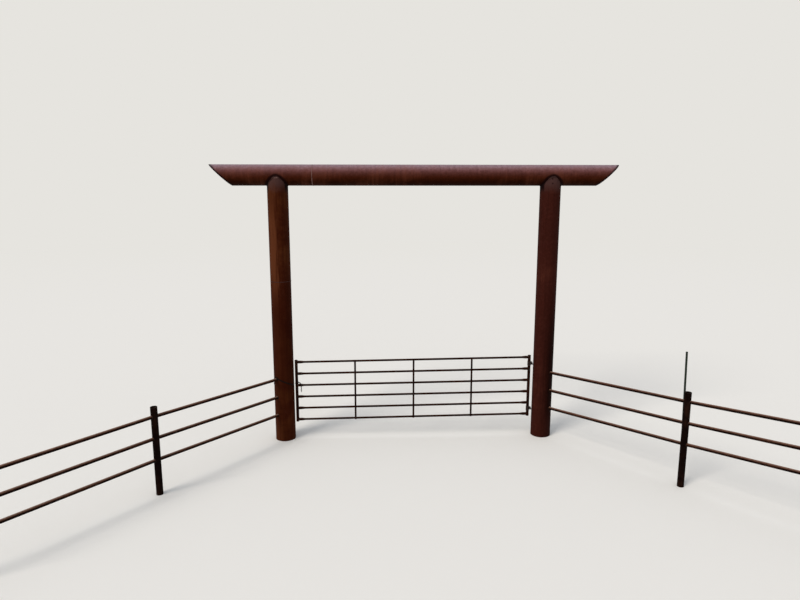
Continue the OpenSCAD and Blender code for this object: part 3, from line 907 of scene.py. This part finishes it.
# %% Copes where the rails meet the posts
RAIL_WELD_WIDTH = 0.010
fence_seams = []
for side, gateway_post in (("left", "latch"), ("right", "hinge")):
    ends = [posts[gateway_post]] + [upright_axis(f"{side}_fence_post_{bay}") for bay in (1, 2)]
    for row in ("top", "mid", "low"):
        for bay in (1, 2):
            for axis, radius in ends[bay - 1:bay + 1]:
                loop = seam_loops(f"{side}_{row}_rail_{bay}", axis, UP, radius)[0]
                fence_seams.append(Seam(loop, RAIL_WELD_WIDTH))
print("seams on the fences:", len(fence_seams), "points in one:", len(fence_seams[0].points))

# %% Copes where the bars meet the stiles, the plates on the stiles' tops, and the hinge collars
BAR_COUNT = 6
BAR_WELD_WIDTH = 0.008
CAP_THICKNESS = 0.004
CAP_WELD_WIDTH = 0.006
COLLAR_WELD_WIDTH = 0.008
POINTS_ROUND_STILE = 40

gate_seams = []
for number in range(1, BAR_COUNT + 1):
    for axis, radius in stiles.values():
        loop = seam_loops(f"gate_bar_{number}", axis, UP, radius)[0]
        gate_seams.append(Seam(loop, BAR_WELD_WIDTH))
for side, (axis, radius) in stiles.items():
    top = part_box(side + "_stile")[1].z
    gate_seams.append(ring(axis + (top - CAP_THICKNESS) * UP, UP, radius, CAP_WELD_WIDTH, POINTS_ROUND_STILE))
hinge_stile_axis, hinge_stile_radius = stiles["hinge"]
for level in ("upper", "lower"):
    # The bead under a collar leans down, and the one over it leans up
    for corner, lean in zip(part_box(level + "_hinge_eye"), (-1.0, 1.0)):
        gate_seams.append(ring(hinge_stile_axis + corner.z * UP, UP, hinge_stile_radius, COLLAR_WELD_WIDTH,
                               POINTS_ROUND_STILE, lean))
print("seams on the gate:", len(gate_seams))

# %% [markdown]
# Each flat stay lies across the front of all six bars. A flat touches a round bar along one short
# line, and the welder fills the wedge on each side of it, so each crossing has two short beads. Their
# places are worked out from the stay's edges and the bar's height there.

# %% Short beads where the stays cross the bars
STAY_WELD_WIDTH = 0.008
STAY_WELD_HALF = 0.011
BAR_RADIUS = 0.0211

gate_axis_y = stiles["latch"][0].y


def bar_height(number, x):
    """The height of a bar's axis at a place along the gate, from the two ends of the bar's box."""
    low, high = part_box(f"gate_bar_{number}")
    flare = (high.y - low.y) / 2
    part = (x - low.x) / (high.x - low.x)
    return low.z + flare + part * (high.z - low.z - 2 * flare)


def stay_seam(number, edge, sideways):
    """A short upright bead on a bar's front, along one edge of a stay."""
    axis_z = bar_height(number, edge)
    points = []
    for step in range(-2, 3):
        rise = step * STAY_WELD_HALF / 2
        depth = math.sqrt(BAR_RADIUS ** 2 - rise ** 2)
        out = Vector((0, -depth, rise)).normalized()
        points.append((Vector((edge, gate_axis_y - depth, axis_z + rise)), (out + sideways).normalized()))
    return Seam(points, STAY_WELD_WIDTH, closed=False)


for stay in (1, 2, 3):
    low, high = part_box(f"gate_stay_{stay}")
    for number in range(1, BAR_COUNT + 1):
        gate_seams += [stay_seam(number, low.x, -ALONG), stay_seam(number, high.x, ALONG)]
print("seams with the stays' beads:", len(gate_seams))

# %% [markdown]
# ## The weld beads
#
# Stick welding leaves a row of overlapping ripples, like coins that have toppled over. That is an
# object repeated along a path, so Geometry Nodes lay it: the seam is resampled at the ripple's
# spacing, one flattened dome is set on each point, turned along the seam and outwards, and varied a
# little in size by a fixed seed. The alternative, a smooth tube, looks like a bead of caulk.
#
# The next two cells also serve the stake's studs. They start and end a tree, turn seams into a path
# that it can read, and run it there. The object with the live modifier is then thrown away, and only
# the plain mesh that it gave is kept.

# %% Start and end a tree
def start_tree(name, sockets):
    """A Geometry Nodes tree with these (name, kind, default) inputs, and its input node's sockets."""
    tree = bpy.data.node_groups.new(name, "GeometryNodeTree")
    for label, kind, default in sockets:
        socket = tree.interface.new_socket(label, in_out="INPUT", socket_type=kind)
        if default is not None:
            socket.default_value = default
    tree.interface.new_socket("Pieces", in_out="OUTPUT", socket_type="NodeSocketGeometry")
    return tree, add(tree, "NodeGroupInput").outputs


def end_tree(tree, laid, finish):
    """Makes the instances real, smooths them, and gives them their finish."""
    real = add(tree, "GeometryNodeRealizeInstances", {"Geometry": laid}).outputs[0]
    smooth = add(tree, "GeometryNodeSetShadeSmooth", {"Geometry": real}).outputs[0]
    finished = add(tree, "GeometryNodeSetMaterial", {"Geometry": smooth, "Material": finish}).outputs[0]
    add(tree, "NodeGroupOutput", {"Pieces": finished})
    print(tree.name, "has", len(tree.nodes), "nodes")


# %% Grow a piece along seams
# The most that a ripple stands out of its seam, as a share of the bead's width
BEAD_REACH = 0.41


def flush(place, width):
    """Sinks a seam at the very back or top of the object, as if ground there, to keep its size."""
    _, back, top = cad_box[1]
    room = BEAD_REACH * width
    return Vector((place.x, min(place.y, back - room), min(place.z, top - room)))


def path_mesh(name, seams):
    """The seams as loose edges that carry the outward direction and the bead's width."""
    places, edges, outs, widths = [], [], [], []
    for seam in seams:
        first = len(places)
        places += [flush(place, width) for (place, _), width in zip(seam.points, seam.widths)]
        outs += [part for _, out in seam.points for part in out]
        widths += seam.widths
        edges += [(i, i + 1) for i in range(first, len(places) - 1)]
        if seam.closed:
            edges.append((len(places) - 1, first))
    mesh = bpy.data.meshes.new(name)
    mesh.from_pydata(places, edges, [])
    mesh.attributes.new("outward", "FLOAT_VECTOR", "POINT").data.foreach_set("vector", outs)
    mesh.attributes.new("bead_width", "FLOAT", "POINT").data.foreach_set("value", widths)
    return mesh


def grow(name, seams, tree, body, slot, **inputs):
    """Runs a tree on seams, keeps the result as a plain mesh, and rides it on a body."""
    path = path_mesh(name + "_path", seams)
    seedling = bpy.data.objects.new(name + "_path", path)
    scene.collection.objects.link(seedling)
    modifier = seedling.modifiers.new("grow", "NODES")
    modifier.node_group = tree
    for item in tree.interface.items_tree:
        if item.item_type == "SOCKET" and item.in_out == "INPUT" and item.name in inputs:
            modifier[item.identifier] = inputs[item.name]
    grown = bpy.data.meshes.new_from_object(seedling.evaluated_get(bpy.context.evaluated_depsgraph_get()))
    bpy.data.objects.remove(seedling)
    bpy.data.meshes.remove(path)
    grown.name = name
    piece = bpy.data.objects.new(name, grown)
    scene.collection.objects.link(piece)
    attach(piece, body)
    print(name, "has", len(grown.polygons), "faces")


# %% A tree that lays ripples along seams
RIPPLE_OVERLAP = 1.25       # Half a ripple's length, as a share of the step between two
RIPPLE_SMALLEST = (0.9, 0.86, 0.8)
RIPPLE_LARGEST = (1.1, 1.12, 1.2)


def ripple_tree():
    """Domes along the seams, as wide as the bead, toppled a little onto each other."""
    tree, given = start_tree("lay_weld_ripples", (
        ("Seams", "NodeSocketGeometry", None), ("Step in widths", "NodeSocketFloat", 0.42),
        ("Height in widths", "NodeSocketFloat", 0.3), ("Lean", "NodeSocketFloat", 0.35),
        ("Seed", "NodeSocketInt", 7), ("Finish", "NodeSocketMaterial", None)))
    outward = add(tree, "GeometryNodeInputNamedAttribute", {"Name": "outward"},
                  data_type="FLOAT_VECTOR").outputs[0]
    width = add(tree, "GeometryNodeInputNamedAttribute", {"Name": "bead_width"}, data_type="FLOAT").outputs[0]
    step = add(tree, "ShaderNodeMath", {0: width, 1: given["Step in widths"]},
               operation="MULTIPLY").outputs[0]
    path = add(tree, "GeometryNodeMeshToCurve", {"Mesh": given["Seams"]}).outputs[0]
    even = add(tree, "GeometryNodeResampleCurve", {"Curve": path, "Length": step}, mode="LENGTH").outputs[0]

    # Each ripple faces out of the corner, lies along the seam, and has toppled a little onto the last
    tangent = add(tree, "GeometryNodeInputTangent").outputs[0]
    faces_out = add(tree, "FunctionNodeAlignRotationToVector", {"Vector": outward}, axis="Z").outputs[0]
    along = add(tree, "FunctionNodeAlignRotationToVector", {"Rotation": faces_out, "Vector": tangent},
                axis="X", pivot_axis="Z").outputs[0]
    lean = add(tree, "ShaderNodeCombineXYZ", {"Y": given["Lean"]}).outputs[0]
    lean_turn = add(tree, "FunctionNodeEulerToRotation", {0: lean}).outputs[0]
    toppled = add(tree, "FunctionNodeRotateRotation", {0: along, 1: lean_turn},
                  rotation_space="LOCAL").outputs[0]

    # Each is as wide as the bead, a little longer than its step, and no two are quite alike
    vary = add(tree, "FunctionNodeRandomValue", {"Min": RIPPLE_SMALLEST, "Max": RIPPLE_LARGEST,
                                                 "Seed": given["Seed"]}, data_type="FLOAT_VECTOR").outputs[0]
    half_length = add(tree, "ShaderNodeMath", {0: given["Step in widths"], 1: RIPPLE_OVERLAP},
                      operation="MULTIPLY").outputs[0]
    form = add(tree, "ShaderNodeCombineXYZ", {"X": half_length, "Y": 0.5,
                                              "Z": given["Height in widths"]}).outputs[0]
    sized = add(tree, "ShaderNodeVectorMath", {0: form, 3: width}, operation="SCALE").outputs[0]
    varied = add(tree, "ShaderNodeVectorMath", {0: sized, 1: vary}, operation="MULTIPLY").outputs[0]

    # The dome itself is coarse, because thousands of them are laid
    dome = add(tree, "GeometryNodeMeshUVSphere", {"Segments": 8, "Rings": 5, "Radius": 1.0}).outputs[0]
    laid = add(tree, "GeometryNodeInstanceOnPoints", {"Points": even, "Instance": dome, "Rotation": toppled,
                                                      "Scale": varied}).outputs[0]
    end_tree(tree, laid, given["Finish"])
    return tree


# %% Lay the welds
ripples = ripple_tree()
grow("gateway_welds", gateway_seams, ripples, "root", "gateway_post_steel", Finish=saddle_weld, Seed=3)
grow("pale_welds", pale_seams, ripples, "root", "beam_steel", Finish=pale_weld, Seed=4)
grow("fence_welds", fence_seams, ripples, "root", "rail_steel", Finish=dark_weld, Seed=5)
grow("gate_welds", gate_seams, ripples, "gate", "gate_steel", Finish=dark_weld, Seed=9)

# %% [markdown]
# ## The studs on the stake
#
# A rolled steel stake has a row of studs down the face of its flange, which stop fence wire from
# sliding. They are one shape at an even spacing along a straight line, so a second small tree sets
# them: the line is cut at the spacing and a blunt cone stands on each point. Modelling them in the
# solid would work too, but forty tiny cones would only slow the model down.

# %% The line down the stake's flange
STAKE_BEARING = math.radians(62)
STAKE_FACE_OFF_POST = 0.015
STAKE_ASIDE = 0.015
STAKE_LEAN = math.tan(math.radians(1.4))
LOWEST_STUD = 0.08
BARE_TOP = 0.03
STUD_SPACING = 0.054
STUD_DEPTH = 0.006
STUD_SINK = 0.0005          # Roots each stud in the flange

post_axis, post_radius = upright_axis("right_fence_post_1")
to_stake = Vector((math.cos(STAKE_BEARING), math.sin(STAKE_BEARING), 0))
aside = UP.cross(to_stake)
stake_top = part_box("marker_stake")[1].z


def on_flange(height):
    """A place on the middle line of the flange's face, which looks back at the fence post."""
    return (post_axis + (post_radius + STAKE_FACE_OFF_POST) * to_stake
            + (STAKE_ASIDE + height * STAKE_LEAN) * aside + height * UP)


line_ends = [(on_flange(height), -to_stake) for height in (LOWEST_STUD, stake_top - BARE_TOP)]
stud_line = Seam(line_ends, STUD_DEPTH, closed=False)
print("line of studs:", round((line_ends[1][0] - line_ends[0][0]).length, 3), "m")


# %% Set the studs down it
def stud_tree():
    """Blunt cones at an even spacing along a line."""
    tree, given = start_tree("set_studs", (
        ("Line", "NodeSocketGeometry", None), ("Spacing", "NodeSocketFloat", STUD_SPACING),
        ("Foot radius", "NodeSocketFloat", 0.0065), ("Top radius", "NodeSocketFloat", 0.004),
        ("Depth", "NodeSocketFloat", STUD_DEPTH), ("Finish", "NodeSocketMaterial", None)))
    outward = add(tree, "GeometryNodeInputNamedAttribute", {"Name": "outward"},
                  data_type="FLOAT_VECTOR").outputs[0]
    line = add(tree, "GeometryNodeMeshToCurve", {"Mesh": given["Line"]}).outputs[0]
    even = add(tree, "GeometryNodeResampleCurve", {"Curve": line, "Length": given["Spacing"]},
               mode="LENGTH").outputs[0]
    faces_out = add(tree, "FunctionNodeAlignRotationToVector", {"Vector": outward}, axis="Z").outputs[0]
    stud = add(tree, "GeometryNodeMeshCone", {"Vertices": 10, "Radius Top": given["Top radius"],
                                              "Radius Bottom": given["Foot radius"],
                                              "Depth": given["Depth"]}).outputs[0]
    sunk = add(tree, "GeometryNodeTransform", {"Geometry": stud,
                                               "Translation": (0, 0, -STUD_SINK)}).outputs[0]
    laid = add(tree, "GeometryNodeInstanceOnPoints", {"Points": even, "Instance": sunk,
                                                      "Rotation": faces_out}).outputs[0]
    end_tree(tree, laid, given["Finish"])
    return tree


grow("stake_studs", [stud_line], stud_tree(), "root", "stake_paint", Finish=stake_enamel)
